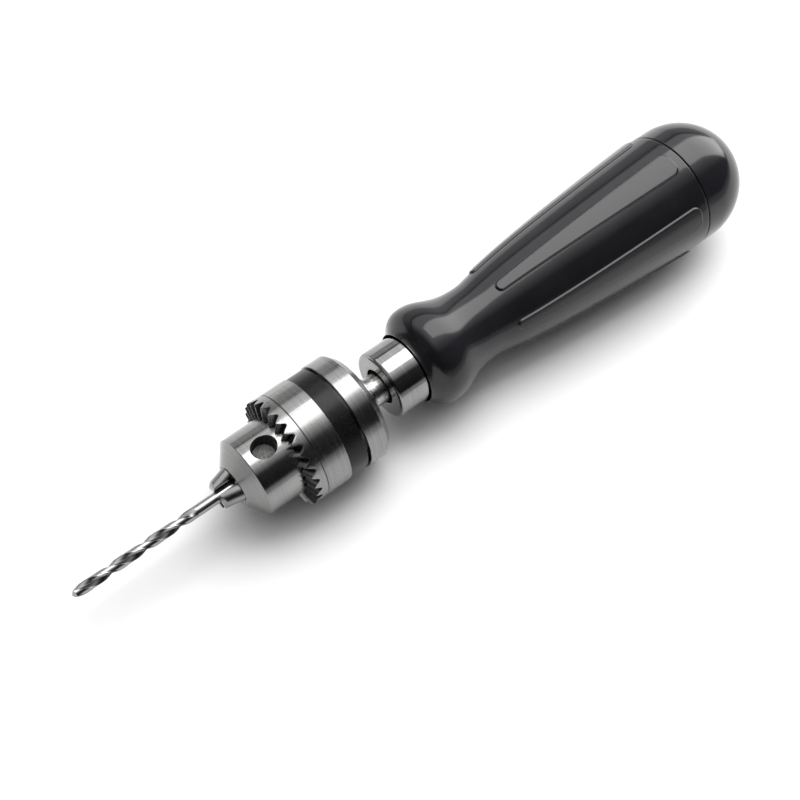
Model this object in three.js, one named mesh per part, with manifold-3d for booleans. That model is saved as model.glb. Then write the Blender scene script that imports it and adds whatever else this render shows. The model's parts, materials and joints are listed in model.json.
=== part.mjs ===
// Hand drill: a moulded screwdriver handle with a swivelling end cap, carrying a three-jaw keyed chuck
// on a threaded spindle. Millimetres. The tool lies on its side, the bit towards -X and the cap towards
// +X, with the origin at the middle of its footprint and +Z up.
//
// Every piece is laid out about the tool's own axis, along X. Stations are measured along that axis from
// the front face of the ferrule; angles about it start at the top and turn towards -Y.

import * as THREE from 'three';
import { mergeVertices } from 'three/addons/utils/BufferGeometryUtils.js';
import { ConvexGeometry } from 'three/addons/geometries/ConvexGeometry.js';
import Module from 'manifold-3d';

const wasm = await Module();
wasm.setup();

const DEGREE = Math.PI / 180;
const THIRD_TURN = 120 * DEGREE;
const GAP = 0.3;                    // air kept between pieces that touch on the real tool
const OVERCUT = 1;                  // how far a cutter runs past the face it cuts through

// Drill bit
const BIT_RADIUS = 1.5;
const BIT_TIP = -92.28;
const BIT_END = -30.95;
const FLUTE_END = -61.5;
const FLUTE_RUN_OUT = 5;
const FLUTE_SPAN = 100 * DEGREE;
const FLUTE_PHASE = 45 * DEGREE;    // where a flute starts at the tip
const WEB_RADIUS = 0.45;
const FLUTE_LEAD = 19.7;
const POINT_HALF_ANGLE = 59 * DEGREE;
const SHANK_CHAMFER = 0.3;

// Chuck body
const NOSE_FACE = -45.85;
const NOSE_FACE_RADIUS = 6;
const NOSE_CONE_END = -42.27;
const NOSE_RADIUS = 10.95;
const NUT_GROOVE = [-28.75, -24.15];
const NUT_GROOVE_RADIUS = 9.2;
const BODY_REAR_RADIUS = 12.9;
const FLANGE = [-14.5, -7.5];
const FLANGE_CHAMFER = 1.8;
const BIT_BORE_RADIUS = 3.2;
const WEB = [-25.85, -23.35];
const WEB_HOLE_RADIUS = 2.3;
const STUD_BORE_RADIUS = 5;

// Key holes
const KEY_HOLE_STATION = -36.55;
const KEY_HOLE_RADIUS = 3.1;
const KEY_HOLE_CHAMFER = 0.3;
const KEY_HOLE_FLOOR = 5.8;

// Toothed sleeve and the split nut inside it
const SLEEVE_RADIUS = 15;
const SLEEVE_FRONT = -32.35;
const SLEEVE_SHOULDER = -31.65;
const SLEEVE_END = -15.25;
const SLEEVE_FRONT_BORE = 11.2;
const SLEEVE_REAR_BORE = 13.55;
const LINE_GROOVE = -27.85;
const LINE_GROOVE_SIZE = 0.3;
const BAND_START = -20.74;
const BAND_RADIUS = 14.7;
const TOOTH_COUNT = 28;
const TOOTH_DEPTH = 1.8;
const TOOTH_GULLET_SHARE = 0.94;    // of the pitch, at the mouth of a gap between teeth
const TOOTH_FLOOR_SHARE = 0.2;      // of the pitch, at the bottom of that gap
const NUT = [-28.45, -24.45];
const NUT_RADIUS = SLEEVE_REAR_BORE - GAP;
const NUT_SPLIT_GAP = 0.4;

// Jaws: rods that slope outwards towards the handle, ground to a wedge that grips the bit
const JAW_RADIUS = 2.6;
const JAW_SLOPE = 16 * DEGREE;
const JAW_OUTSIDE_AT_NOSE = 5.35;
const JAW_TIP = -50.8;
const JAW_END = -22.35;
const JAW_CHAMFER = 0.8;
const JAW_TIP_RADIUS = 3.4;
const JAW_TIP_BEVEL = 0.7;
const JAW_LAND = 0.8;
const JAW_WEDGE_HALF_ANGLE = 60 * DEGREE;
const BIT_CLEARANCE = 0.02;
const JAW_CLEARANCE = 0.2;
const JAW_TRAVEL = 5.44;
const JAW_AXIS_AT_NOSE = JAW_OUTSIDE_AT_NOSE - JAW_RADIUS / Math.cos(JAW_SLOPE);
const JAW_LENGTH_BEHIND_NOSE = (JAW_END - NOSE_FACE) / Math.cos(JAW_SLOPE);

// Lock screw, through the web of the chuck body into the spindle
const SCREW_HEAD_RADIUS = 2.9;
const SCREW_HEAD = 2.1;
const SCREW_RADIUS = 1.9;
const SCREW_END = -14.35;
const SCREW_SLOT = [0.9, 0.8];

// Spindle
const STUD_RADIUS = 4.7;
const STUD_START = -22.85;
const SPINDLE_TAPPED_END = -13.35;
const COLLAR = [-7.2, -4.2];
const COLLAR_RADIUS = 5.4;
const SHANK_RADIUS = 4.15;
const SPINDLE_END = 27;
const PIN_STATION = 6.5;
const PIN_RADIUS = 1.25;
const PIN_LENGTH = 14.8;

// Ferrule
const FERRULE_RADIUS = 9.5;
const FERRULE_BORE = 8;
const FERRULE_WALL = 1.6;
const FERRULE_HOLE_RADIUS = 5.1;
const FERRULE_EDGE_RADIUS = 1;
const FERRULE_END = 13;

// Handle
const STUB_RADIUS = FERRULE_BORE - GAP;
const STUB_FACE = 2;
const LIP_BORE = 9.8;
const LIP_FRONT = 8.9;
const LIP_RADIUS = 10.1;
const LIP_INNER_DEPTH = 0.8;
const BULGE = [15.85, 14.1];
const NECK = [31.9, 10.6];
const LIP_CURVE = [[11.4, 10.6], 11.2];      // pulls from the lip and into the bulge
const NECK_CURVE = [21.1, 23];            // stations of the pulls out of the bulge and into the neck
const GRIP_CURVE = [38.9, [34.3, 13.1]];     // pulls out of the neck and into the widest end
const HANDLE_END = [102.05, 17.3];
const HANDLE_END_ROUNDING = 0.5;
const TANG_BORE_RADIUS = SHANK_RADIUS + GAP;
const HOLLOW_START = 54;
const HOLLOW_RADIUS = 10.2;
const HOLLOW_END_RADIUS = 14;
const PLUG_SEAT = 93.35;
const RIB_COUNT = 6;
const RIB_HEIGHT = 0.5;
const RIB = [37.9, 99.4];
const RIB_FRONT_HALF_WIDTH = 1.45;
const RIB_REAR_HALF_WIDTH = 3.75;
const RIB_CORNER = 2.5;

// Swivel cap and its pivot
const CAP_RADIUS = 17.2;
const CAP_START = HANDLE_END[0] + 0.35;
const CAP_CENTRE = 107.35;
const CAP_WALL = 2.6;
const CAP_HUB_RADIUS = 6;
const CAP_HUB_START = 103.65;
const CAP_BORE_END = 117.4;
const PIVOT_RADIUS = 2.5;
const PIVOT_START = 88.95;
const PIVOT_END = 116.85;
const PLUG = [93.65, 101.75];
const PLUG_RADIUS = HOLLOW_END_RADIUS - GAP;
const PLUG_BORE = 4.6;
const PLUG_RECESS = [9, 3];
const BUSH_RADIUS = PLUG_BORE - GAP;
const BUSH_BORE = PIVOT_RADIUS + 0.15;
const BUSH_FLANGE_RADIUS = 6;
const BUSH_FLANGE = 1;
const THRUST_WASHER = [102.05, 103.35];
const THRUST_WASHER_RADIUS = 9;
const SPRING_WASHER = [91.65, 92.25];
const SPRING_WASHER_RADIUS = 5;
const CLIP = [90.45, 91.25];
const CLIP_RADIUS = 4.6;
const CLIP_BORE = 2.15;
const CLIP_MOUTH = 2.6;
const CLIP_GROOVE = [90.15, 91.55];
const CLIP_GROOVE_RADIUS = 1.9;

const materials = {
  steel: { color: 0xb7b6b8, roughness: 0.28, metalness: 1 },
  hardened: { color: 0x8f8f92, roughness: 0.35, metalness: 1 },
  plated: { color: 0xc9c9cc, roughness: 0.3, metalness: 1 },
  bronze: { color: 0xa98455, roughness: 0.5, metalness: 1 },
  plastic: { color: 0x26262a, roughness: 0.25, metalness: 0 },
};

// ---- Solids -------------------------------------------------------------------------------------------

// Turns a closed three.js geometry into a solid, with its faces pointing out.
function solid(geometry) {
  const bare = geometry.clone();
  bare.deleteAttribute('normal');
  bare.deleteAttribute('uv');
  const merged = mergeVertices(bare, 1e-4);
  const vertex = merged.attributes.position;
  const corners = [0, 1, 2].map(() => new THREE.Vector3());
  const kept = [];
  let volume = 0;
  for (let i = 0; i < merged.index.count; i += 3) {
    const triangle = [0, 1, 2].map((k) => merged.index.getX(i + k));
    if (new Set(triangle).size === 3) {
      kept.push(triangle);
      triangle.forEach((index, k) => corners[k].fromBufferAttribute(vertex, index));
      volume += corners[0].dot(corners[1].clone().cross(corners[2]));
    }
  }
  const outward = volume < 0 ? kept.map((triangle) => [...triangle].reverse()) : kept;
  return new wasm.Manifold(new wasm.Mesh({
    numProp: 3,
    vertProperties: new Float32Array(vertex.array),
    triVerts: new Uint32Array(outward.flat()),
  }));
}

function geometryOf(body) {
  const mesh = body.getMesh();
  const geometry = new THREE.BufferGeometry();
  geometry.setAttribute('position', new THREE.BufferAttribute(new Float32Array(mesh.vertProperties), 3));
  geometry.setIndex(new THREE.BufferAttribute(new Uint32Array(mesh.triVerts), 1));
  return geometry;
}

// Revolves an outline drawn as (station, radius) about the tool axis.
function turned(outline, segments, curveSteps = 2) {
  const profile = outline.getPoints(curveSteps).map((point) => new THREE.Vector2(point.y, point.x));
  const halfFacet = Math.PI / segments;
  return new THREE.LatheGeometry(profile, segments, halfFacet, 2 * Math.PI).rotateZ(-Math.PI / 2);
}

function outlineFrom(station, radius) {
  return new THREE.Path().moveTo(station, radius);
}

// A plain rod along the tool axis between two stations.
function rod(radius, from, to, segments = 32) {
  const outline = outlineFrom(from, 0).lineTo(from, radius).lineTo(to, radius).lineTo(to, 0);
  return turned(outline, segments);
}

// A plain ring along the tool axis between two stations.
function ring(inner, outer, from, to, segments = 32) {
  const outline = outlineFrom(from, inner).lineTo(from, outer).lineTo(to, outer).lineTo(to, inner);
  return turned(outline.lineTo(from, inner), segments);
}

// Leans a geometry on the tool axis over to the line that a jaw slides along.
function leaned(geometry) {
  return geometry.translate(-NOSE_FACE, 0, 0).rotateY(-JAW_SLOPE).translate(NOSE_FACE, 0, JAW_AXIS_AT_NOSE);
}

function subtractAll(body, cutters) {
  return cutters.reduce((rest, cutter) => rest.subtract(cutter), body);
}

// The same cutter at equal angles about the tool axis.
function around(makeGeometry, count, start = 0) {
  const step = 2 * Math.PI / count;
  return Array.from({ length: count }, (_, i) => solid(makeGeometry().rotateX(start + i * step)));
}

// ---- Chuck --------------------------------------------------------------------------------------------

function chuckBody() {
  const outline = outlineFrom(NOSE_FACE, 0)
    .lineTo(NOSE_FACE, NOSE_FACE_RADIUS)
    .lineTo(NOSE_CONE_END, NOSE_RADIUS)
    .lineTo(NUT_GROOVE[0], NOSE_RADIUS)
    .lineTo(NUT_GROOVE[0], NUT_GROOVE_RADIUS)
    .lineTo(NUT_GROOVE[1], NUT_GROOVE_RADIUS)
    .lineTo(NUT_GROOVE[1], BODY_REAR_RADIUS)
    .lineTo(FLANGE[0], BODY_REAR_RADIUS)
    .lineTo(FLANGE[0], SLEEVE_RADIUS)
    .lineTo(FLANGE[1] - FLANGE_CHAMFER, SLEEVE_RADIUS)
    .lineTo(FLANGE[1], SLEEVE_RADIUS - FLANGE_CHAMFER)
    .lineTo(FLANGE[1], 0);
  const keyHoleOutline = outlineFrom(KEY_HOLE_FLOOR, 0)
    .lineTo(KEY_HOLE_FLOOR, KEY_HOLE_RADIUS)
    .lineTo(NOSE_RADIUS - KEY_HOLE_CHAMFER, KEY_HOLE_RADIUS)
    .lineTo(NOSE_RADIUS + KEY_HOLE_CHAMFER, KEY_HOLE_RADIUS + 2 * KEY_HOLE_CHAMFER)
    .lineTo(NOSE_RADIUS + OVERCUT, KEY_HOLE_RADIUS + 2 * KEY_HOLE_CHAMFER)
    .lineTo(NOSE_RADIUS + OVERCUT, 0);
  const keyHole = () => turned(keyHoleOutline, 20)
    .rotateY(-Math.PI / 2)
    .translate(KEY_HOLE_STATION, 0, 0);
  const jawBoreEnd = NOSE_FACE + JAW_LENGTH_BEHIND_NOSE + JAW_TRAVEL + GAP;
  const jawBore = () => leaned(rod(JAW_RADIUS + JAW_CLEARANCE, JAW_TIP, jawBoreEnd, 16));
  return subtractAll(solid(turned(outline, 40)), [
    solid(rod(BIT_BORE_RADIUS, NOSE_FACE - OVERCUT, WEB[0], 24)),
    solid(rod(WEB_HOLE_RADIUS, WEB[0] - OVERCUT, WEB[1] + OVERCUT, 24)),
    solid(rod(STUD_BORE_RADIUS, WEB[1], FLANGE[1] + OVERCUT)),
    ...around(keyHole, 3),
    ...around(jawBore, 3, THIRD_TURN / 2),
  ]);
}

// One gap between two teeth: a pyramid from the point on the axis that the bevel teeth run towards, with
// a narrow floor. It is drawn at the outside of the sleeve and then stretched a little beyond it.
function gullet() {
  const slope = (SLEEVE_SHOULDER - SLEEVE_FRONT) / (SLEEVE_RADIUS - SLEEVE_FRONT_BORE);
  const apex = new THREE.Vector3(SLEEVE_SHOULDER - slope * SLEEVE_RADIUS, 0, 0);
  const pitch = 2 * Math.PI * SLEEVE_RADIUS / TOOTH_COUNT;
  const halfFloor = TOOTH_FLOOR_SHARE * pitch / 2;
  const halfMouth = TOOTH_GULLET_SHARE * pitch / 2;
  const stretch = 1.1;
  const opening = 1.4;
  const corner = (depth, halfWidth) => new THREE.Vector3(
    SLEEVE_SHOULDER + depth * TOOTH_DEPTH, halfWidth, SLEEVE_RADIUS);
  const halfOpening = halfFloor + opening * (halfMouth - halfFloor);
  const section = [-1, 1].flatMap((side) => [
    corner(1, side * halfFloor),
    corner(1 - opening, side * halfOpening),
  ]);
  const far = section.map((point) => point.sub(apex).multiplyScalar(stretch).add(apex));
  return new ConvexGeometry([apex, ...far]);
}

function chuckSleeve() {
  const outline = outlineFrom(SLEEVE_FRONT, SLEEVE_FRONT_BORE)
    .lineTo(SLEEVE_SHOULDER, SLEEVE_RADIUS)
    .lineTo(LINE_GROOVE - LINE_GROOVE_SIZE / 2, SLEEVE_RADIUS)
    .lineTo(LINE_GROOVE, SLEEVE_RADIUS - LINE_GROOVE_SIZE)
    .lineTo(LINE_GROOVE + LINE_GROOVE_SIZE / 2, SLEEVE_RADIUS)
    .lineTo(BAND_START - GAP, SLEEVE_RADIUS)
    .lineTo(BAND_START, BAND_RADIUS)
    .lineTo(SLEEVE_END, BAND_RADIUS)
    .lineTo(SLEEVE_END, SLEEVE_REAR_BORE)
    .lineTo(NUT_GROOVE[0], SLEEVE_REAR_BORE)
    .lineTo(NUT_GROOVE[0], SLEEVE_FRONT_BORE)
    .lineTo(SLEEVE_FRONT, SLEEVE_FRONT_BORE);
  return subtractAll(solid(turned(outline, 2 * TOOTH_COUNT)), around(gullet, TOOTH_COUNT));
}

// The nut is a ring broken in two, so that it can be put into the groove of the chuck body.
function nutHalf(side) {
  const outsideOfJaws = (station) => JAW_OUTSIDE_AT_NOSE + (station - NOSE_FACE) * Math.tan(JAW_SLOPE);
  const boreFront = outsideOfJaws(NUT[0]) + JAW_CLEARANCE;
  const boreRear = outsideOfJaws(NUT[1]) + JAW_CLEARANCE;
  const outline = outlineFrom(NUT[0], boreFront)
    .lineTo(NUT[0], NUT_RADIUS)
    .lineTo(NUT[1], NUT_RADIUS)
    .lineTo(NUT[1], boreRear)
    .lineTo(NUT[0], boreFront);
  const size = 2 * SLEEVE_RADIUS;
  const otherHalf = new THREE.BoxGeometry(size, size, size)
    .translate(NUT[0], side * (size / 2 - NUT_SPLIT_GAP / 2), 0);
  return solid(turned(outline, 48)).subtract(solid(otherHalf));
}

function jaw() {
  const rodStart = NOSE_FACE - 2 * (NOSE_FACE - JAW_TIP);
  const rodEnd = NOSE_FACE + JAW_LENGTH_BEHIND_NOSE;
  const rodOutline = outlineFrom(rodStart, 0)
    .lineTo(rodStart, JAW_RADIUS)
    .lineTo(rodEnd - JAW_CHAMFER, JAW_RADIUS)
    .lineTo(rodEnd, JAW_RADIUS - JAW_CHAMFER)
    .lineTo(rodEnd, 0);
  const tipOutline = outlineFrom(JAW_TIP, 0)
    .lineTo(JAW_TIP, JAW_TIP_RADIUS)
    .lineTo(JAW_TIP + JAW_TIP_BEVEL, JAW_TIP_RADIUS + JAW_TIP_BEVEL)
    .lineTo(JAW_TIP + JAW_TIP_BEVEL, SLEEVE_RADIUS)
    .lineTo(0, SLEEVE_RADIUS)
    .lineTo(0, 0);
  const land = BIT_RADIUS + BIT_CLEARANCE;
  const depth = SLEEVE_RADIUS;
  const spread = JAW_LAND / 2 + depth * Math.tan(JAW_WEDGE_HALF_ANGLE);
  const wedge = new THREE.Shape()
    .moveTo(-JAW_LAND / 2, land)
    .lineTo(JAW_LAND / 2, land)
    .lineTo(spread, land + depth)
    .lineTo(-spread, land + depth);
  const wedgeLength = -2 * JAW_TIP;
  const wedgePrism = new THREE.ExtrudeGeometry(wedge, { depth: wedgeLength, bevelEnabled: false })
    .rotateX(Math.PI / 2)
    .rotateZ(Math.PI / 2)
    .translate(-wedgeLength, 0, 0);
  return solid(leaned(turned(rodOutline, 28)))
    .intersect(solid(turned(tipOutline, 48)))
    .intersect(solid(wedgePrism));
}

// ---- Drill bit ----------------------------------------------------------------------------------------

// Half the section of the fluted length, from one flute to the next: a land, then a rounded flute.
function fluteRadius(angle) {
  const half = ((angle % Math.PI) + Math.PI) % Math.PI;
  if (half >= FLUTE_SPAN) {
    return BIT_RADIUS;
  }
  const across = Math.sin(Math.PI * half / FLUTE_SPAN);
  return BIT_RADIUS - (BIT_RADIUS - WEB_RADIUS) * Math.pow(across, 0.8);
}

function drillBit() {
  const sectionPoints = 20;
  const steps = 24;
  const length = FLUTE_END + FLUTE_RUN_OUT - BIT_TIP;
  const section = new THREE.Shape(Array.from({ length: sectionPoints }, (_, i) => {
    const angle = 2 * Math.PI * i / sectionPoints;
    const radius = fluteRadius(angle);
    return new THREE.Vector2(radius * Math.cos(angle), radius * Math.sin(angle));
  }));
  const fluted = new THREE.ExtrudeGeometry(section, { depth: length, steps, bevelEnabled: false });
  const position = fluted.attributes.position;
  const point = new THREE.Vector3();
  const axis = new THREE.Vector3(0, 0, 1);
  for (let i = 0; i < position.count; i += 1) {
    point.fromBufferAttribute(position, i);
    const runOut = THREE.MathUtils.smoothstep(point.z, length - FLUTE_RUN_OUT, length);
    const radius = Math.hypot(point.x, point.y);
    const grown = THREE.MathUtils.lerp(radius, BIT_RADIUS, runOut) / radius;
    const height = point.z;
    const twist = FLUTE_PHASE + 2 * Math.PI * height / FLUTE_LEAD;
    point.set(point.x * grown, point.y * grown, 0).applyAxisAngle(axis, twist);
    position.setXYZ(i, point.x, point.y, height);
  }
  const body = solid(fluted.rotateY(Math.PI / 2).translate(BIT_TIP, 0, 0));
  const shankStart = FLUTE_END + FLUTE_RUN_OUT - OVERCUT / 2;
  const shank = outlineFrom(shankStart, 0)
    .lineTo(shankStart, BIT_RADIUS)
    .lineTo(BIT_END - SHANK_CHAMFER, BIT_RADIUS)
    .lineTo(BIT_END, BIT_RADIUS - SHANK_CHAMFER)
    .lineTo(BIT_END, 0);
  const pointLength = BIT_RADIUS / Math.tan(POINT_HALF_ANGLE);
  const envelope = outlineFrom(BIT_TIP, 0)
    .lineTo(BIT_TIP + 2 * pointLength, 2 * BIT_RADIUS)
    .lineTo(BIT_END + OVERCUT, 2 * BIT_RADIUS)
    .lineTo(BIT_END + OVERCUT, 0);
  return body.add(solid(turned(shank, sectionPoints))).intersect(solid(turned(envelope, 24)));
}

// ---- Spindle, screw, pin and ferrule ------------------------------------------------------------------

function lockScrew() {
  const headRear = WEB[0] - GAP;
  const headFront = headRear - SCREW_HEAD;
  const outline = outlineFrom(headFront, 0)
    .lineTo(headFront, SCREW_HEAD_RADIUS)
    .lineTo(headRear, SCREW_HEAD_RADIUS)
    .lineTo(headRear, SCREW_RADIUS)
    .lineTo(SCREW_END, SCREW_RADIUS)
    .lineTo(SCREW_END, 0);
  const [slotWidth, slotDepth] = SCREW_SLOT;
  const slot = new THREE.BoxGeometry(2 * slotDepth, slotWidth, 3 * SCREW_HEAD_RADIUS)
    .translate(headFront, 0, 0);
  return solid(turned(outline, 24)).subtract(solid(slot));
}

function crossPin(radius, length) {
  return new THREE.CylinderGeometry(radius, radius, length, 20).translate(PIN_STATION, 0, 0);
}

function spindle() {
  const outline = outlineFrom(STUD_START, 0)
    .lineTo(STUD_START, STUD_RADIUS)
    .lineTo(COLLAR[0], STUD_RADIUS)
    .lineTo(COLLAR[0], COLLAR_RADIUS)
    .lineTo(COLLAR[1], COLLAR_RADIUS)
    .lineTo(COLLAR[1], SHANK_RADIUS)
    .lineTo(SPINDLE_END, SHANK_RADIUS)
    .lineTo(SPINDLE_END, 0);
  return subtractAll(solid(turned(outline, 36)), [
    solid(rod(SCREW_RADIUS + JAW_CLEARANCE, STUD_START - OVERCUT, SPINDLE_TAPPED_END, 20)),
    solid(crossPin(PIN_RADIUS + GAP, 4 * SHANK_RADIUS)),
  ]);
}

function ferrule() {
  const edge = FERRULE_EDGE_RADIUS;
  const outline = outlineFrom(0, FERRULE_HOLE_RADIUS)
    .lineTo(0, FERRULE_RADIUS - edge)
    .absarc(edge, FERRULE_RADIUS - edge, edge, 180 * DEGREE, 90 * DEGREE, true)
    .lineTo(FERRULE_END, FERRULE_RADIUS)
    .lineTo(FERRULE_END, FERRULE_BORE)
    .lineTo(FERRULE_WALL, FERRULE_BORE)
    .lineTo(FERRULE_WALL, FERRULE_HOLE_RADIUS)
    .lineTo(0, FERRULE_HOLE_RADIUS);
  return solid(turned(outline, 48));
}

// ---- Handle -------------------------------------------------------------------------------------------

// The swell of the grip as an outline, standing `raise` above the plain surface.
function gripCurve(outline, raise) {
  const [lipPull, bulgePull] = LIP_CURVE;
  const [neckPull, endPull] = GRIP_CURVE;
  return outline
    .bezierCurveTo(lipPull[0], lipPull[1] + raise, bulgePull, BULGE[1] + raise, BULGE[0], BULGE[1] + raise)
    .bezierCurveTo(NECK_CURVE[0], BULGE[1] + raise, NECK_CURVE[1], NECK[1] + raise, NECK[0], NECK[1] + raise)
    .bezierCurveTo(neckPull, NECK[1] + raise, endPull[0], endPull[1] + raise,
      HANDLE_END[0] - HANDLE_END_ROUNDING, HANDLE_END[1] + raise);
}

// One raised rib seen from above: it widens towards the cap and has rounded ends.
function ribPlan() {
  const rearEdge = RIB[1];
  const frontCentre = RIB[0] + RIB_FRONT_HALF_WIDTH;
  const cornerCentre = RIB_REAR_HALF_WIDTH - RIB_CORNER;
  return new THREE.Shape()
    .moveTo(frontCentre, -RIB_FRONT_HALF_WIDTH)
    .lineTo(rearEdge - RIB_CORNER, -RIB_REAR_HALF_WIDTH)
    .absarc(rearEdge - RIB_CORNER, -cornerCentre, RIB_CORNER, -90 * DEGREE, 0, false)
    .absarc(rearEdge - RIB_CORNER, cornerCentre, RIB_CORNER, 0, 90 * DEGREE, false)
    .lineTo(frontCentre, RIB_FRONT_HALF_WIDTH)
    .absarc(frontCentre, 0, RIB_FRONT_HALF_WIDTH, 90 * DEGREE, 270 * DEGREE, false);
}

function handleShell() {
  const segments = 48;
  const curveSteps = 4;
  const outline = gripCurve(
    outlineFrom(LIP_FRONT + LIP_INNER_DEPTH, 0)
      .lineTo(LIP_FRONT + LIP_INNER_DEPTH, LIP_BORE)
      .lineTo(LIP_FRONT, LIP_RADIUS), 0)
    .lineTo(HANDLE_END[0], HANDLE_END[1] - HANDLE_END_ROUNDING)
    .lineTo(HANDLE_END[0], 0);
  const raised = gripCurve(outlineFrom(LIP_FRONT, 0).lineTo(LIP_FRONT, LIP_RADIUS), RIB_HEIGHT)
    .lineTo(HANDLE_END[0] - HANDLE_END_ROUNDING, 0);
  const ribLayer = solid(turned(raised, segments, curveSteps));
  const ribPrism = () => new THREE.ExtrudeGeometry(ribPlan(), {
    depth: 2 * HANDLE_END[1], bevelEnabled: false, curveSegments: 2,
  });
  const grip = around(ribPrism, RIB_COUNT).reduce(
    (body, prism) => body.add(ribLayer.intersect(prism)), solid(turned(outline, segments, curveSteps)));
  const recess = ring(STUB_RADIUS, LIP_BORE, LIP_FRONT - OVERCUT, FERRULE_END + GAP, 32);
  const hollow = outlineFrom(HOLLOW_START, 0)
    .lineTo(HOLLOW_START, HOLLOW_RADIUS)
    .lineTo(PLUG_SEAT, HOLLOW_END_RADIUS)
    .lineTo(HANDLE_END[0] + OVERCUT, HOLLOW_END_RADIUS)
    .lineTo(HANDLE_END[0] + OVERCUT, 0);
  return subtractAll(grip.add(solid(rod(STUB_RADIUS, STUB_FACE, FERRULE_END + 2 * OVERCUT, 32))), [
    solid(recess),
    solid(rod(TANG_BORE_RADIUS, STUB_FACE - OVERCUT, SPINDLE_END + GAP)),
    solid(crossPin(PIN_RADIUS + GAP, 4 * STUB_RADIUS)),
    solid(turned(hollow, 24)),
  ]);
}

// ---- Swivel cap ---------------------------------------------------------------------------------------

function capShell() {
  const inner = CAP_RADIUS - CAP_WALL;
  const hubReach = Math.asin(CAP_HUB_RADIUS / inner);
  const outline = outlineFrom(CAP_BORE_END, 0)
    .lineTo(CAP_BORE_END, PIVOT_RADIUS + GAP)
    .lineTo(CAP_HUB_START, PIVOT_RADIUS + GAP)
    .lineTo(CAP_HUB_START, CAP_HUB_RADIUS)
    .absarc(CAP_CENTRE, 0, inner, hubReach, 90 * DEGREE, false)
    .lineTo(CAP_START, inner)
    .lineTo(CAP_START, CAP_RADIUS)
    .absarc(CAP_CENTRE, 0, CAP_RADIUS, 90 * DEGREE, 0, true);
  return solid(turned(outline, 40, 3));
}

function endPlug() {
  const [recessRadius, recessDepth] = PLUG_RECESS;
  const outline = outlineFrom(PLUG[0], PLUG_BORE)
    .lineTo(PLUG[0], PLUG_RADIUS)
    .lineTo(PLUG[1], PLUG_RADIUS)
    .lineTo(PLUG[1], PLUG_BORE)
    .lineTo(PLUG[0], PLUG_BORE);
  const pocket = ring(BUSH_FLANGE_RADIUS + GAP, recessRadius, PLUG[0] - OVERCUT, PLUG[0] + recessDepth, 32);
  return solid(turned(outline, 32)).subtract(solid(pocket));
}

function pivotBush() {
  const flangeRear = PLUG[0] - GAP;
  const outline = outlineFrom(flangeRear - BUSH_FLANGE, BUSH_BORE)
    .lineTo(flangeRear - BUSH_FLANGE, BUSH_FLANGE_RADIUS)
    .lineTo(flangeRear, BUSH_FLANGE_RADIUS)
    .lineTo(flangeRear, BUSH_RADIUS)
    .lineTo(PLUG[1], BUSH_RADIUS)
    .lineTo(PLUG[1], BUSH_BORE)
    .lineTo(flangeRear - BUSH_FLANGE, BUSH_BORE);
  return solid(turned(outline, 32));
}

function pivotPin() {
  const outline = outlineFrom(PIVOT_START, 0)
    .lineTo(PIVOT_START, PIVOT_RADIUS)
    .lineTo(CLIP_GROOVE[0], PIVOT_RADIUS)
    .lineTo(CLIP_GROOVE[0], CLIP_GROOVE_RADIUS)
    .lineTo(CLIP_GROOVE[1], CLIP_GROOVE_RADIUS)
    .lineTo(CLIP_GROOVE[1], PIVOT_RADIUS)
    .lineTo(PIVOT_END, PIVOT_RADIUS)
    .lineTo(PIVOT_END, 0);
  return solid(turned(outline, 28));
}

function washer(radius, [from, to]) {
  return solid(ring(PIVOT_RADIUS + GAP, radius, from, to));
}

function retainingClip() {
  const mouth = new THREE.BoxGeometry(4 * (CLIP[1] - CLIP[0]), CLIP_MOUTH, 2 * CLIP_RADIUS)
    .translate(CLIP[0], 0, -CLIP_RADIUS);
  return solid(ring(CLIP_BORE, CLIP_RADIUS, ...CLIP, 28)).subtract(solid(mouth));
}

// ---- Assembly -----------------------------------------------------------------------------------------

const tool = new THREE.Group();

function place(name, body, material, turn = 0) {
  const mesh = new THREE.Mesh(geometryOf(body), new THREE.MeshStandardMaterial(material));
  mesh.name = name;
  mesh.rotation.x = turn;
  tool.add(mesh);
}

place('drill_bit', drillBit(), materials.steel);
for (const number of [1, 2, 3]) {
  place(`jaw_${number}`, jaw(), materials.hardened, (number - 0.5) * THIRD_TURN);
}
place('chuck_body', chuckBody(), materials.steel);
place('chuck_sleeve', chuckSleeve(), materials.steel);
place('split_nut_half_a', nutHalf(1), materials.hardened);
place('split_nut_half_b', nutHalf(-1), materials.hardened);
place('chuck_lock_screw', lockScrew(), materials.hardened);
place('spindle', spindle(), materials.plated);
place('spindle_pin', solid(crossPin(PIN_RADIUS, PIN_LENGTH)), materials.hardened);
place('ferrule', ferrule(), materials.steel);
place('handle_shell', handleShell(), materials.plastic);
place('handle_end_plug', endPlug(), materials.plastic);
place('pivot_bush', pivotBush(), materials.bronze);
place('cap_shell', capShell(), materials.plastic);
place('cap_pivot_pin', pivotPin(), materials.plated);
place('thrust_washer', washer(THRUST_WASHER_RADIUS, THRUST_WASHER), materials.plated);
place('spring_washer', washer(SPRING_WASHER_RADIUS, SPRING_WASHER), materials.plated);
place('retaining_clip', retainingClip(), materials.hardened);

// The handle is thicker than the chuck, so the tool lies with its bit end lower: the axis tilts until the
// rib under the grip and the front edge of the sleeve both touch the ground.
const gripSupport = [HANDLE_END[0] - 8, HANDLE_END[1] + RIB_HEIGHT - 0.2];
tool.rotation.y = -Math.atan((gripSupport[1] - SLEEVE_RADIUS) / (gripSupport[0] - SLEEVE_SHOULDER));

const handDrill = new THREE.Group();
handDrill.add(tool);
const bounds = new THREE.Box3().setFromObject(handDrill, true);
const middle = bounds.getCenter(new THREE.Vector3());
tool.position.set(-middle.x, -middle.y, -bounds.min.z);

export default handDrill;
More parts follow.
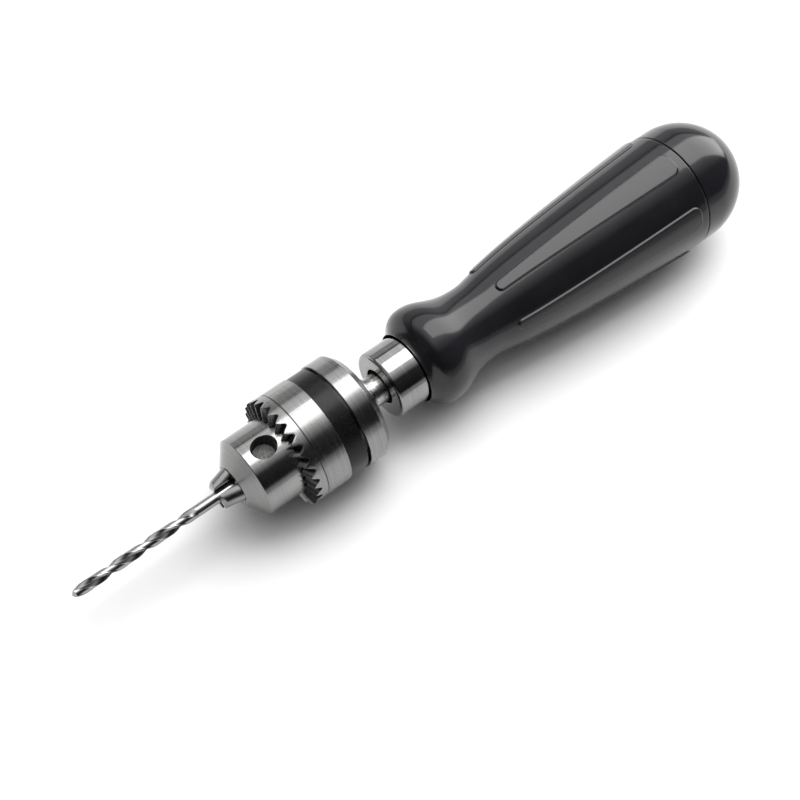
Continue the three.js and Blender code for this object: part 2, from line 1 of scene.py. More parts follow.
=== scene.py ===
"""Looks of the hand drill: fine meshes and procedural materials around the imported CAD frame.

Sizes are in millimetres along and about the tool's own axis, as in the CAD. Stations run from the front
face of the ferrule towards the cap; angles about the axis start at the top and turn towards the camera's
side (-Y).
"""

import json
import math

import bpy
import numpy as np
from mathutils import Matrix, Vector


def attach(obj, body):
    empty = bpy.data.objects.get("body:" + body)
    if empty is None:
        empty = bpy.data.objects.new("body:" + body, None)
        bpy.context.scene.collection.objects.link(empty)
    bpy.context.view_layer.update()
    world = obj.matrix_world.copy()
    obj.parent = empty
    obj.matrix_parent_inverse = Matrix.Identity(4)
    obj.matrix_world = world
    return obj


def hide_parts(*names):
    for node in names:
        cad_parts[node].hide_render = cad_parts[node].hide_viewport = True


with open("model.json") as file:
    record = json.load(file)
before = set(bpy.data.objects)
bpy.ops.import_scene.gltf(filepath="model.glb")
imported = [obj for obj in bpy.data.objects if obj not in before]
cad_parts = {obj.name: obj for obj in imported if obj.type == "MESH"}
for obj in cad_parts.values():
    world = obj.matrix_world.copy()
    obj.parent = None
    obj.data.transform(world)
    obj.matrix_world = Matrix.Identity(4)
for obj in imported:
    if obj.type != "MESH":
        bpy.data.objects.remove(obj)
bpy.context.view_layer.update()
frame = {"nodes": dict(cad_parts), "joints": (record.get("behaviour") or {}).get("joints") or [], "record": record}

MM = 0.001

# ---- Driving sizes, millimetres ---------------------------------------------------------------------------

BIT_RADIUS = 1.5
BIT_TIP = -92.28
BIT_END = -30.95
FLUTE_END = -61.5
FLUTE_RUN_OUT = 5.0
FLUTE_LEAD = 19.7
FLUTE_PHASE = math.radians(45)
FLUTE_SPAN = math.radians(104)
FLUTE_DEPTH = 0.98
LAND_RELIEF = 0.06
MARGIN_START = math.radians(167)
MARGIN_STEP = math.radians(5)
POINT_HALF_ANGLE = math.radians(59)

NOSE_FACE = -45.85
NOSE_FACE_RADIUS = 6.0
NOSE_CONE_END = -42.27
NOSE_RADIUS = 10.95
NUT_GROOVE = (-28.75, -24.15)
NUT_GROOVE_RADIUS = 9.2
BODY_REAR_RADIUS = 12.9
FLANGE = (-14.5, -7.5)
FLANGE_CHAMFER = 1.8
BIT_BORE_RADIUS = 3.2
WEB = (-25.85, -23.35)
WEB_HOLE_RADIUS = 2.3
STUD_BORE_RADIUS = 5.0

KEY_HOLE_STATION = -36.55
KEY_HOLE_RADIUS = 3.1
KEY_HOLE_FLOOR = 5.8
KEY_HOLE_CHAMFER = 0.42

SLEEVE_RADIUS = 15.0
SLEEVE_FRONT = -32.35
SLEEVE_SHOULDER = -31.65
SLEEVE_END = -15.25
SLEEVE_FRONT_BORE = 11.2
SLEEVE_REAR_BORE = 13.55
LINE_GROOVE = -27.85
BAND_START = -20.74
BAND_RADIUS = 14.7
TOOTH_COUNT = 28
TOOTH_DEPTH = 1.8
TOOTH_GAP_SHARE = 0.95
# How deep a tooth gap is (0 crest, 1 root) by distance from its middle, as a share of half its width.
TOOTH_FLANK = ((0.0, 1.0), (0.2, 0.985), (0.26, 0.9), (0.43, 0.68), (0.65, 0.35), (1.0, 0.0))
LINE_WIDTH = 0.28
LINE_DEPTH = 0.28

JAW_RADIUS = 2.6
JAW_SLOPE = math.radians(16)
JAW_OUTSIDE_AT_NOSE = 5.35
JAW_AXIS_AT_NOSE = JAW_OUTSIDE_AT_NOSE - JAW_RADIUS / math.cos(JAW_SLOPE)
JAW_TIP = -50.8
JAW_TIP_RADIUS = 3.4
JAW_TIP_BEVEL = 0.7
JAW_END = -22.35
JAW_TRAVEL = 5.44
JAW_LAND = 0.8
JAW_CLEARANCE = 0.2
JAW_GAP = 0.02
JAW_BEVEL = 0.07
FACET_TURN = 0.029  # radians; keeps the facets of crossing round shapes from meeting exactly

SCREW_BORE_RADIUS = 2.1
STUD_RADIUS = 4.7
STUD_START = -22.85
SPINDLE_TAPPED_END = -13.35
COLLAR = (-7.2, -4.2)
COLLAR_RADIUS = 5.4
SHANK_RADIUS = 4.15
SPINDLE_END = 27.0
PIN_STATION = 6.5
PIN_HOLE_RADIUS = 1.55

FERRULE_RADIUS = 9.5
FERRULE_BORE = 8.0
FERRULE_WALL = 1.6
FERRULE_HOLE_RADIUS = 5.1
FERRULE_END = 13.0

STUB_RADIUS = 7.7
STUB_FACE = 2.0
LIP_BORE = 9.8
LIP_FRONT = 8.9
LIP_RADIUS = 10.1
LIP_INNER_DEPTH = 0.8
RECESS_END = 13.3
BULGE = (15.85, 14.1)
NECK = (31.9, 10.6)
HANDLE_END = (102.05, 17.3)
HANDLE_END_ROUNDING = 0.5
TANG_BORE_RADIUS = 4.45
TANG_BORE_END = 27.3
HOLLOW = ((54.0, 10.2), (93.35, 14.0))
RIB_COUNT = 6
RIB_HEIGHT = 0.5
RIB = (37.9, 99.4)
RIB_FRONT_HALF_WIDTH = 1.45
RIB_REAR_HALF_WIDTH = 3.75
RIB_CORNER = 2.5
RIB_EDGE = 0.5  # width of the rolled edge, of which RIB_EDGE_OUTSIDE lies beyond the outline
RIB_EDGE_OUTSIDE = 0.22

CAP_RADIUS = 17.2
CAP_START = HANDLE_END[0] + 0.35
CAP_CENTRE = 107.35
CAP_WALL = 2.6
CAP_HUB_RADIUS = 6.0
CAP_HUB_START = 103.65
CAP_BORE_RADIUS = 2.8
CAP_BORE_END = 117.4

# ---- Frame: the tool's own axes in the row frame ----------------------------------------------------------

joints = {joint["name"]: joint for joint in frame["joints"]}
mounts = {mount["name"]: mount for mount in frame["record"]["mounts"]}
axis = Vector(joints["cap_swivel"]["axis"]).normalized()
pivot = Vector(joints["cap_swivel"]["pos_m"])
datum = pivot - axis * (pivot - Vector(mounts["ferrule_front_face"]["pos_m"])).dot(axis)
side = Vector((0, 1, 0))
rise = axis.cross(side)
TOOL = Matrix((
    (axis.x, side.x, rise.x, datum.x),
    (axis.y, side.y, rise.y, datum.y),
    (axis.z, side.z, rise.z, datum.z),
    (0, 0, 0, 1),
))
TOOL_ROTATION = np.array(TOOL.to_3x3())

# ---- Mesh making ------------------------------------------------------------------------------------------


def to_row(points):
    """Tool coordinates in millimetres to row coordinates in metres."""
    return np.asarray(points, float) * MM @ TOOL_ROTATION.T + np.array(datum)


def circle(station, radius, angles):
    """Points at one station and radius; both may vary with the angle."""
    angles = np.asarray(angles, float)
    x = np.broadcast_to(np.asarray(station, float), angles.shape)
    r = np.broadcast_to(np.asarray(radius, float), angles.shape)
    return np.stack([x, -r * np.sin(angles), r * np.cos(angles)], 1)


def full_turn(segments):
    """Evenly spaced angles round the axis."""
    return np.arange(segments) * 2 * math.pi / segments


def turned_rings(profile, angles):
    """Rings of a turned shape; a profile point on the axis gives a pole."""
    return [circle(x, r, angles) if r > 1e-6 else np.array([[x, 0.0, 0.0]]) for x, r in profile]


def skin(rings, closed=False):
    """Vertices and faces through rings of points; a ring of one point is a pole."""
    starts = np.cumsum([0] + [len(ring) for ring in rings])
    faces = []
    pairs = list(zip(range(len(rings) - 1), range(1, len(rings))))
    if closed:
        pairs.append((len(rings) - 1, 0))
    for low, high in pairs:
        a, b = rings[low], rings[high]
        if len(a) == 1 and len(b) == 1:
            continue
        n = max(len(a), len(b))
        here = np.arange(n)
        there = (here + 1) % n
        first, second = starts[low], starts[high]
        if len(a) == 1:
            faces += [(first, second + j, second + i) for i, j in zip(here, there)]
        elif len(b) == 1:
            faces += [(first + i, first + j, second) for i, j in zip(here, there)]
        else:
            faces += [(first + i, first + j, second + j, second + i) for i, j in zip(here, there)]
    return np.concatenate(rings), [tuple(int(i) for i in face) for face in faces]


def signed_volume(points, faces):
    """Six times the volume inside the faces; negative if they point inwards."""
    total = 0.0
    for face in faces:
        a = points[face[0]]
        for i in range(1, len(face) - 1):
            total += np.dot(a, np.cross(points[face[i]], points[face[i + 1]]))
    return total


def place(name, data):
    """A new object in the scene."""
    obj = bpy.data.objects.new(name, data)
    bpy.context.scene.collection.objects.link(obj)
    return obj


def piece(name, points, faces, sharp=math.radians(35)):
    """A mesh object from tool coordinates, faces out, smooth except at sharp edges."""
    points = np.asarray(points, float)
    centred = points - points.mean(0)
    if signed_volume(centred, faces) < 0:
        faces = [tuple(reversed(face)) for face in faces]
    mesh = bpy.data.meshes.new(name)
    mesh.from_pydata(to_row(points).tolist(), [], faces)
    mesh.validate()
    obj = place(name, mesh)
    shade(obj, sharp)
    return obj


def shade(obj, sharp=math.radians(35)):
    """Smooth shading with sharp edges past the given angle."""
    mesh = obj.data
    mesh.polygons.foreach_set("use_smooth", [True] * len(mesh.polygons))
    mesh.set_sharp_from_angle(angle=sharp)
    mesh.update()


def rounded(corners, closed=False, steps=4, hold=0.08):
    """A profile from (station, radius, fillet) corners. Each fillet is an arc with a short straight hold on
    both sides, so that the flats next to it shade flat."""
    profile = []
    count = len(corners)
    for i, (x, r, fillet) in enumerate(corners):
        here = np.array((x, r), float)
        if fillet <= 0 or (not closed and i in (0, count - 1)):
            profile.append(here)
            continue
        before = np.array(corners[i - 1][:2], float) - here
        after = np.array(corners[(i + 1) % count][:2], float) - here
        reach_before, reach_after = np.linalg.norm(before), np.linalg.norm(after)
        before, after = before / reach_before, after / reach_after
        opening = math.acos(max(-1.0, min(1.0, float(before @ after))))
        tangent = min(fillet / math.tan(opening / 2), 0.45 * min(reach_before, reach_after))
        radius = tangent * math.tan(opening / 2)
        bisector = (before + after) / np.linalg.norm(before + after)
        centre = here + bisector * radius / math.sin(opening / 2)
        start, end = here + before * tangent, here + after * tangent
        profile.append(start + before * min(hold, 0.1 * reach_before))
        from_angle = math.atan2(*(start - centre)[::-1])
        sweep = math.atan2(*(end - centre)[::-1]) - from_angle
        sweep = (sweep + math.pi) % (2 * math.pi) - math.pi
        for k in range(steps + 1):
            turn = from_angle + sweep * k / steps
            profile.append(centre + radius * np.array((math.cos(turn), math.sin(turn))))
        profile.append(end + after * min(hold, 0.1 * reach_after))
    return np.array(profile)


def store(obj, name, values):
    """A number for every vertex, for a material to read."""
    attribute = obj.data.attributes.new(name, "FLOAT", "POINT")
    attribute.data.foreach_set("value", np.array(values, np.float32))


def lathe(name, profile, segments=192, closed=False, sharp=math.radians(35)):
    """A turned object; a closed profile makes a ring."""
    return piece(name, *skin(turned_rings(profile, full_turn(segments)), closed), sharp=sharp)


def arc(centre, radius, start, end, steps):
    """Points of an arc about (station, 0 radius), angles in degrees from the axis."""
    return [(centre + radius * math.cos(math.radians(t)), radius * math.sin(math.radians(t)))
            for t in np.linspace(start, end, steps + 1)]


def cut(obj, cutter, operation="DIFFERENCE"):
    """Cuts an object with another, which is used up."""
    modifier = obj.modifiers.new("cut", "BOOLEAN")
    modifier.operation = operation
    modifier.solver = "EXACT"
    modifier.object = cutter
    apply(obj)
    bpy.data.objects.remove(cutter)
    return obj


def apply(obj):
    """Makes the modifiers' result the object's own mesh."""
    bpy.context.view_layer.update()
    evaluated = obj.evaluated_get(bpy.context.evaluated_depsgraph_get())
    mesh = bpy.data.meshes.new_from_object(evaluated)
    obj.modifiers.clear()
    old = obj.data
    obj.data = mesh
    mesh.name = old.name
    bpy.data.meshes.remove(old)


def soften(obj, width, segments=2, angle=math.radians(30)):
    """Small bevels on every sharp edge."""
    modifier = obj.modifiers.new("soften", "BEVEL")
    modifier.width = width * MM
    modifier.segments = segments
    modifier.limit_method = "ANGLE"
    modifier.angle_limit = angle
    modifier.harden_normals = False
    modifier.use_clamp_overlap = True
    apply(obj)
    shade(obj)


def turned_points(points, rotate_y=0.0, rotate_x=0.0, shift=(0, 0, 0)):
    """Points turned about Y, then about X, then shifted."""
    rotation = Matrix.Rotation(rotate_x, 3, "X") @ Matrix.Rotation(rotate_y, 3, "Y")
    return np.asarray(points) @ np.array(rotation).T + np.array(shift)


# ---- Materials --------------------------------------------------------------------------------------------

class Nodes:
    """A material under construction, with a Principled shader at its end."""

    def __init__(self, name):
        self.material = bpy.data.materials.new(name)
        self.material.use_nodes = True
        self.tree = self.material.node_tree
        self.tree.nodes.clear()
        self.shader = self.add("ShaderNodeBsdfPrincipled")
        output = self.add("ShaderNodeOutputMaterial")
        self.link(self.shader.outputs[0], output.inputs["Surface"])

    def add(self, kind, **settings):
        node = self.tree.nodes.new(kind)
        for key, value in settings.items():
            setattr(node, key, value)
        return node

    def link(self, source, target):
        self.tree.links.new(source, target)

    def source_of(self, name):
        """What feeds one of the shader's inputs."""
        return self.shader.inputs[name].links[0].from_socket

    def attribute(self, name):
        return self.add("ShaderNodeAttribute", attribute_name=name).outputs["Fac"]

    def value(self, operation, *operands):
        """A math node on numbers or sockets."""
        node = self.add("ShaderNodeMath", operation=operation)
        for slot, operand in enumerate(operands):
            self.feed(operand, node.inputs[slot])
        return node.outputs[0]

    def feed(self, operand, socket):
        """Sets an input to a number or a colour, or links it to a socket."""
        if isinstance(operand, (int, float, tuple)):
            socket.default_value = operand
        else:
            self.link(operand, socket)

    def tool_space(self):
        """Coordinates about the tool's axis, in millimetres."""
        coordinates = self.add("ShaderNodeTexCoord")
        mapping = self.add("ShaderNodeMapping", vector_type="TEXTURE")
        mapping.inputs["Location"].default_value = datum
        mapping.inputs["Rotation"].default_value = TOOL.to_euler()
        mapping.inputs["Scale"].default_value = (MM, MM, MM)
        self.link(coordinates.outputs["Object"], mapping.inputs["Vector"])
        return mapping.outputs[0]

    def noise(self, vector, scale, detail=3.0, roughness=0.5, distortion=0.0):
        node = self.add("ShaderNodeTexNoise")
        node.inputs["Scale"].default_value = scale
        node.inputs["Detail"].default_value = detail
        node.inputs["Roughness"].default_value = roughness
        node.inputs["Distortion"].default_value = distortion
        self.link(vector, node.inputs["Vector"])
        return node.outputs["Fac"]

    def spread(self, source, low, high, to_low, to_high):
        """Maps a range onto another, clamped."""
        node = self.add("ShaderNodeMapRange")
        node.inputs["From Min"].default_value = low
        node.inputs["From Max"].default_value = high
        node.inputs["To Min"].default_value = to_low
        node.inputs["To Max"].default_value = to_high
        self.link(source, node.inputs["Value"])
        return node.outputs[0]

    def blend(self, factor, first, second):
        """A mix of two colours."""
        node = self.add("ShaderNodeMix", data_type="RGBA")
        self.feed(factor, node.inputs[0])
        self.feed(first, node.inputs[6])
        self.feed(second, node.inputs[7])
        return node.outputs[2]

    def stretched(self, vector, along, across):
        """Grooves that run round the tool: close together along station plus radius, slow round the axis."""
        split = self.add("ShaderNodeSeparateXYZ")
        self.link(vector, split.inputs[0])
        y, z = split.outputs[1], split.outputs[2]
        squares = self.value("ADD", self.value("MULTIPLY", y, y), self.value("MULTIPLY", z, z))
        reach = self.value("ADD", split.outputs[0], self.value("SQRT", squares))
        join = self.add("ShaderNodeCombineXYZ")
        self.link(self.value("MULTIPLY", reach, along), join.inputs[0])
        self.link(self.value("MULTIPLY", y, across), join.inputs[1])
        self.link(self.value("MULTIPLY", z, across), join.inputs[2])
        return join.outputs[0]

    def bump(self, height, strength, distance, under=None):
        node = self.add("ShaderNodeBump")
        node.inputs["Strength"].default_value = strength
        node.inputs["Distance"].default_value = distance * MM
        self.link(height, node.inputs["Height"])
        if under is not None:
            self.link(under, node.inputs["Normal"])
        return node.outputs[0]

    def set(self, **values):
        """Feeds the shader's inputs by name and gives back the material."""
        for key, value in values.items():
            socket = self.shader.inputs[key.replace("_", " ")]
            self.feed(value, socket)
        return self.material


def shades(colour, darker):
    """A darker shade of a colour and the colour itself, opaque."""
    return tuple(c * darker for c in colour) + (1.0,), tuple(colour) + (1.0,)


def grey(level, blue=None):
    """An opaque grey, or one with its own blue."""
    return level, level, level if blue is None else blue, 1.0


def turned_steel_nodes(name, colour, roughness, groove=0.2, anisotropy=0.7, wear=0.48):
    """Turned and ground steel: fine tool marks round the axis, uneven gloss, slightly brighter edges."""
    n = Nodes(name)
    place = n.tool_space()
    fine = n.noise(n.stretched(place, 9.0, 0.05), 1.0, 4.0, 0.6)
    broad = n.noise(n.stretched(place, 1.3, 0.03), 1.0, 2.0, 0.5)
    patches = n.noise(place, 0.22, 3.0, 0.55)
    marks = n.value("ADD", n.value("MULTIPLY", fine, 0.7), n.value("MULTIPLY", broad, 0.3))
    tone = n.blend(n.spread(marks, 0.35, 0.65, 0.0, 1.0), *shades(colour, 0.74))
    pointed = n.add("ShaderNodeNewGeometry").outputs["Pointiness"]
    edges = n.value("MULTIPLY", n.spread(pointed, 0.52, 0.6, 0.0, 1.0), wear)
    tone = n.blend(edges, tone, (0.42, 0.42, 0.415, 1.0))
    unevenness = n.value(
        "ADD", n.spread(marks, 0.3, 0.7, -0.05, 0.05), n.spread(patches, 0.3, 0.7, -0.03, 0.03),
    )
    gloss = n.value("ADD", unevenness, roughness)
    n.set(Base_Color=tone, Metallic=1.0, Roughness=gloss, Normal=n.bump(fine, groove, 0.02))
    n.shader.inputs["Anisotropic"].default_value = anisotropy
    n.shader.inputs["Anisotropic Rotation"].default_value = 0.25
    tangent = n.add("ShaderNodeTangent", direction_type="RADIAL", axis="X")
    n.link(tangent.outputs[0], n.shader.inputs["Tangent"])
    return n


def turned_steel(*arguments, **settings):
    return turned_steel_nodes(*arguments, **settings).material


def ground_steel_nodes(name, colour, roughness, grain=0.15):
    """Hardened or plated steel without turning marks."""
    n = Nodes(name)
    place = n.tool_space()
    fine = n.noise(place, 6.0, 4.0, 0.65)
    patches = n.noise(place, 0.5, 3.0, 0.5)
    tone = n.blend(n.spread(fine, 0.3, 0.7, 0.0, 1.0), *shades(colour, 0.8))
    gloss = n.value("ADD", n.spread(patches, 0.3, 0.7, -0.06, 0.06), roughness)
    n.set(Base_Color=tone, Metallic=1.0, Roughness=gloss, Normal=n.bump(fine, grain, 0.02))
    return n


def ground_steel(*arguments, **settings):
    return ground_steel_nodes(*arguments, **settings).material


def zinc_plate(name):
    """Bright zinc: dimpled, with uneven sparkle."""
    n = Nodes(name)
    place = n.tool_space()
    dimples = n.noise(place, 1.1, 3.0, 0.6, 0.4)
    grain = n.noise(place, 5.0, 3.0, 0.6)
    tone = n.blend(n.spread(dimples, 0.35, 0.65, 0.0, 1.0), grey(0.22), grey(0.46, 0.45))
    gloss = n.spread(grain, 0.3, 0.7, 0.16, 0.34)
    normal = n.bump(dimples, 0.2, 0.12, n.bump(grain, 0.2, 0.02))
    return n.set(Base_Color=tone, Metallic=1.0, Roughness=gloss, Normal=normal)


def blackened_steel(name):
    """The recessed band: phosphate black, mottled, with an oily sheen."""
    n = Nodes(name)
    place = n.tool_space()
    mottle = n.noise(place, 1.6, 4.0, 0.6)
    fine = n.noise(place, 9.0, 3.0, 0.6)
    tone = n.blend(n.spread(mottle, 0.35, 0.7, 0.0, 1.0), grey(0.003, 0.0035), grey(0.009, 0.0095))
    gloss = n.spread(fine, 0.3, 0.7, 0.20, 0.32)
    n.shader.inputs["IOR"].default_value = 1.42
    n.shader.inputs["Specular IOR Level"].default_value = 0.24
    return n.set(Base_Color=tone, Roughness=gloss, Normal=n.bump(fine, 0.12, 0.02))


def dull_steel(name):
    """Inside of a drilled hole: rough, greasy and grey."""
    n = Nodes(name)
    place = n.tool_space()
    mottle = n.noise(place, 2.2, 4.0, 0.65, 0.3)
    tone = n.blend(n.spread(mottle, 0.35, 0.65, 0.0, 1.0), (0.04, 0.04, 0.04, 1.0), (0.22, 0.215, 0.21, 1.0))
    gloss = n.spread(mottle, 0.3, 0.7, 0.35, 0.6)
    return n.set(Base_Color=tone, Metallic=0.9, Roughness=gloss, Normal=n.bump(mottle, 0.5, 0.1))


def gloss_plastic(name):
    """Glossy charcoal moulding: faint flow marks, orange peel and hairline rubbing."""
    n = Nodes(name)
    place = n.tool_space()
    peel = n.noise(place, 0.55, 2.0, 0.45)
    fine = n.noise(place, 4.0, 3.0, 0.55)
    cloud = n.noise(place, 0.09, 3.0, 0.5)
    rub = n.noise(n.stretched(place, 0.4, 2.2), 1.0, 4.0, 0.7)
    tone = n.blend(n.spread(cloud, 0.35, 0.65, 0.0, 1.0), grey(0.009, 0.011), grey(0.012, 0.0145))
    gloss = n.value("ADD", n.spread(fine, 0.3, 0.7, -0.015, 0.02), n.spread(rub, 0.3, 0.7, 0.10, 0.16))
    normal = n.bump(peel, 0.10, 0.05, n.bump(fine, 0.04, 0.01))
    n.set(Base_Color=tone, Roughness=gloss, Normal=normal)
    n.shader.inputs["IOR"].default_value = 1.43
    return n.material


def bronze(name):
    """Sintered bronze, full of pores."""
    n = Nodes(name)
    place = n.tool_space()
    pores = n.noise(place, 5.0, 4.0, 0.7)
    tone = n.blend(n.spread(pores, 0.35, 0.65, 0.0, 1.0), (0.28, 0.17, 0.08, 1.0), (0.55, 0.38, 0.2, 1.0))
    return n.set(Base_Color=tone, Metallic=1.0, Roughness=n.spread(pores, 0.3, 0.7, 0.4, 0.6),
                 Normal=n.bump(pores, 0.4, 0.05))


def tooth_steel(name, colour, roughness):
    """The sleeve's steel, darkened down in the tooth gaps: partly oil and oxide, partly painted shade."""
    n = turned_steel_nodes(name, colour, roughness)
    soil_and_shade = n.attribute("soil_and_shade")
    ragged = n.value("ADD", soil_and_shade, n.spread(n.noise(n.tool_space(), 2.0, 3.0, 0.6), 0.3, 0.7, -0.12, 0.12))
    amount = n.spread(ragged, 0.25, 0.75, 0.0, 0.92)
    return n.set(Base_Color=n.blend(amount, n.source_of("Base Color"), grey(0.03)))


def fluted_steel(name, colour, roughness):
    """The bit: bright ground lands, duller flutes from the mill, with painted shade on the far wall of each flute.
    """
    n = ground_steel_nodes(name, colour, roughness, grain=0.04)
    across = n.attribute("flute")
    shadow = n.spread(across, 0.38, 0.56, 0.0, 0.93)
    dulling = n.spread(across, 0.02, 0.2, 0.0, 0.2)
    return n.set(
        Base_Color=n.blend(shadow, n.source_of("Base Color"), grey(0.02, 0.022)),
        Roughness=n.value("ADD", n.source_of("Roughness"), dulling),
    )


STEEL = (0.27, 0.268, 0.266)
chuck_steel = turned_steel("chuck_steel", STEEL, 0.2)
flange_steel = turned_steel("flange_steel", STEEL, 0.26)
sleeve_steel = tooth_steel("sleeve_steel", STEEL, 0.26)
ferrule_steel = turned_steel("ferrule_steel", (0.29, 0.288, 0.286), 0.09, groove=0.08, anisotropy=0.2)
bit_steel = fluted_steel("bit_steel", (0.34, 0.34, 0.336), 0.2)
jaw_steel = ground_steel("jaw_steel", (0.26, 0.26, 0.26), 0.24, grain=0.05)
hidden_steel = ground_steel("hidden_steel", (0.45, 0.45, 0.46), 0.35)
zinc = zinc_plate("zinc")
band_black = blackened_steel("band_black")
hole_steel = dull_steel("hole_steel")
charcoal = gloss_plastic("charcoal")
bush_bronze = bronze("bush_bronze")


def finish_piece(obj, body, slot, nodes, *materials):
    """Adds the materials, and says what the piece rides on and the CAD nodes it stands for; the slot argument is
    not used.
    """
    for material in materials:
        obj.data.materials.append(material)
    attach(obj, body)
    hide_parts(*nodes)
    return obj


# ---- Drill bit --------------------------------------------------------------------------------------------

def flute_section(count):
    """Angles, radii and places across the flute (0 on the land), for the flute, the relieved land and its
    margin, twice round."""
    turns = np.linspace(0, math.pi, count, endpoint=False)
    radii = []
    for turn in turns:
        if turn < FLUTE_SPAN:
            across = turn / FLUTE_SPAN
            depth = math.sin(math.pi * across) ** 0.9
            radii.append(BIT_RADIUS - LAND_RELIEF * across - FLUTE_DEPTH * depth)
        elif turn < MARGIN_START:
            radii.append(BIT_RADIUS - LAND_RELIEF * min(1.0, (MARGIN_START - turn) / MARGIN_STEP))
        else:
            radii.append(BIT_RADIUS)
    angles = np.concatenate([turns, turns + math.pi]) + FLUTE_PHASE
    across = np.where(turns < FLUTE_SPAN, turns / FLUTE_SPAN, 0)
    return angles, np.concatenate([radii, radii]), np.concatenate([across, across])


def drill_bit():
    """The twist bit: point, flutes that run out into the shank, and the shank."""
    angles, section, across = flute_section(60)
    point = 1 / math.tan(POINT_HALF_ANGLE)
    flute_stop = FLUTE_END + FLUTE_RUN_OUT
    rings = [np.array([[BIT_TIP, 0.0, 0.0]])]

    def ring(station, radius):
        return circle(station, radius, angles + 2 * math.pi * (np.asarray(station) - BIT_TIP) / FLUTE_LEAD)

    for share in (0.12, 0.3, 0.5, 0.7, 0.85, 0.94, 0.985):
        rings.append(ring(BIT_TIP + share * section * point, share * section))
    flute_place = [0.0] * sum(len(ring_points) for ring_points in rings)
    edge = BIT_TIP + section * point
    for along in np.concatenate([[0.0, 0.002, 0.006], np.linspace(0.015, 1.0, 170)]):
        station = edge + (flute_stop - edge) * along
        fade = np.clip((station - (flute_stop - FLUTE_RUN_OUT)) / FLUTE_RUN_OUT, 0, 1)
        fade = fade * fade * (3 - 2 * fade)
        rings.append(ring(station, section + (BIT_RADIUS - section) * fade))
        flute_place += list(across * (1 - fade))
    twist_end = 2 * math.pi * (flute_stop - BIT_TIP) / FLUTE_LEAD
    shank = rounded([(flute_stop, BIT_RADIUS, 0), (BIT_END, BIT_RADIUS, 0.3), (BIT_END, 0, 0)])[1:]
    rings += turned_rings(shank, angles + twist_end)
    obj = piece("twist_bit", *skin(rings), sharp=math.radians(40))
    flute_place += [0.0] * (len(obj.data.vertices) - len(flute_place))
    store(obj, "flute", flute_place)
    return finish_piece(obj, "bit", "bit_steel", ["drill_bit"], bit_steel)


# ---- Chuck ------------------------------------------------------------------------------------------------

def jaw_frame(points, turn):
    """From a jaw's own axis to its place in the chuck."""
    leaned = turned_points(np.asarray(points) - (NOSE_FACE, 0, 0), rotate_y=-JAW_SLOPE)
    leaned = leaned + (NOSE_FACE, 0, JAW_AXIS_AT_NOSE)
    return turned_points(leaned, rotate_x=turn)


def jaw_turn(number):
    """The jaws lie between the key holes."""
    return (number - 0.5) * 2 * math.pi / 3


def jaw_along(station):
    """The place along a jaw's own axis where that axis reaches a station."""
    return NOSE_FACE + (station - NOSE_FACE) / math.cos(JAW_SLOPE)


def jaw(number):
    """A sloping rod, cut to the shape of the closed tip and ground to a wedge with a flat land."""
    turn = jaw_turn(number)
    front = NOSE_FACE - 2 * (NOSE_FACE - JAW_TIP)
    end = jaw_along(JAW_END)
    rod = rounded([(front, 0, 0), (front, JAW_RADIUS, 0), (end, JAW_RADIUS, 0.8), (end, 0, 0)], steps=3)
    points, faces = skin(turned_rings(rod, full_turn(72) + FACET_TURN))
    obj = piece(f"gripping_jaw_{number}", jaw_frame(points, turn), faces)

    shoulder = (JAW_TIP + JAW_TIP_BEVEL, JAW_TIP_RADIUS + JAW_TIP_BEVEL)
    tip = rounded([
        (JAW_TIP, 0, 0), (JAW_TIP, JAW_TIP_RADIUS, 0.35), (*shoulder, 0.35),
        (shoulder[0] + 8, SLEEVE_RADIUS, 0), (0, SLEEVE_RADIUS, 0), (0, 0, 0),
    ], steps=3)
    cut(obj, lathe("tip_envelope", tip, 144), "INTERSECT")

    depth = SLEEVE_RADIUS
    spread = JAW_LAND / 2 + depth * math.tan(math.radians(60))
    land = BIT_RADIUS + JAW_GAP
    outline = [(-JAW_LAND / 2, land), (JAW_LAND / 2, land), (spread, land + depth), (-spread, land + depth)]
    prism = [(x, y, z) for x in (JAW_TIP - 5, 0) for y, z in outline]
    sides = [(0, 1, 2, 3), (7, 6, 5, 4)] + [(i, i + 4, (i + 1) % 4 + 4, (i + 1) % 4) for i in range(4)]
    cut(obj, piece("wedge", turned_points(prism, rotate_x=turn), sides), "INTERSECT")
    soften(obj, JAW_BEVEL)
    return finish_piece(obj, f"jaw_{number}", "hardened_steel", [f"jaw_{number}"], jaw_steel)


def key_drill(number):
    """The cutter of one of the three key holes, with a chamfered mouth."""
    mouth = KEY_HOLE_RADIUS + 2 * KEY_HOLE_CHAMFER
    profile = rounded([
        (KEY_HOLE_FLOOR - 0.9, 0, 0), (KEY_HOLE_FLOOR, KEY_HOLE_RADIUS, 0.2),
        (NOSE_RADIUS - KEY_HOLE_CHAMFER, KEY_HOLE_RADIUS, 0.15), (NOSE_RADIUS + KEY_HOLE_CHAMFER, mouth, 0),
        (NOSE_RADIUS + 1, mouth, 0), (NOSE_RADIUS + 1, 0, 0),
    ], steps=3)
    points, faces = skin(turned_rings(profile, full_turn(96)))
    points = turned_points(points, rotate_y=-math.pi / 2, shift=(KEY_HOLE_STATION, 0, 0))
    return piece("key_drill", turned_points(points, rotate_x=number * 2 * math.pi / 3), faces)


def jaw_drill(number):
    """The cutter of a jaw's bore, as long as the jaw's travel needs."""
    start = JAW_TIP - 2
    end = jaw_along(JAW_END) + JAW_TRAVEL + 0.3
    radius = JAW_RADIUS + JAW_CLEARANCE
    profile = [(start, 0), (start, radius), (end, radius), (end, 0)]
    points, faces = skin(turned_rings(profile, full_turn(72) + FACET_TURN))
    return piece("jaw_drill", jaw_frame(points, jaw_turn(number)), faces)


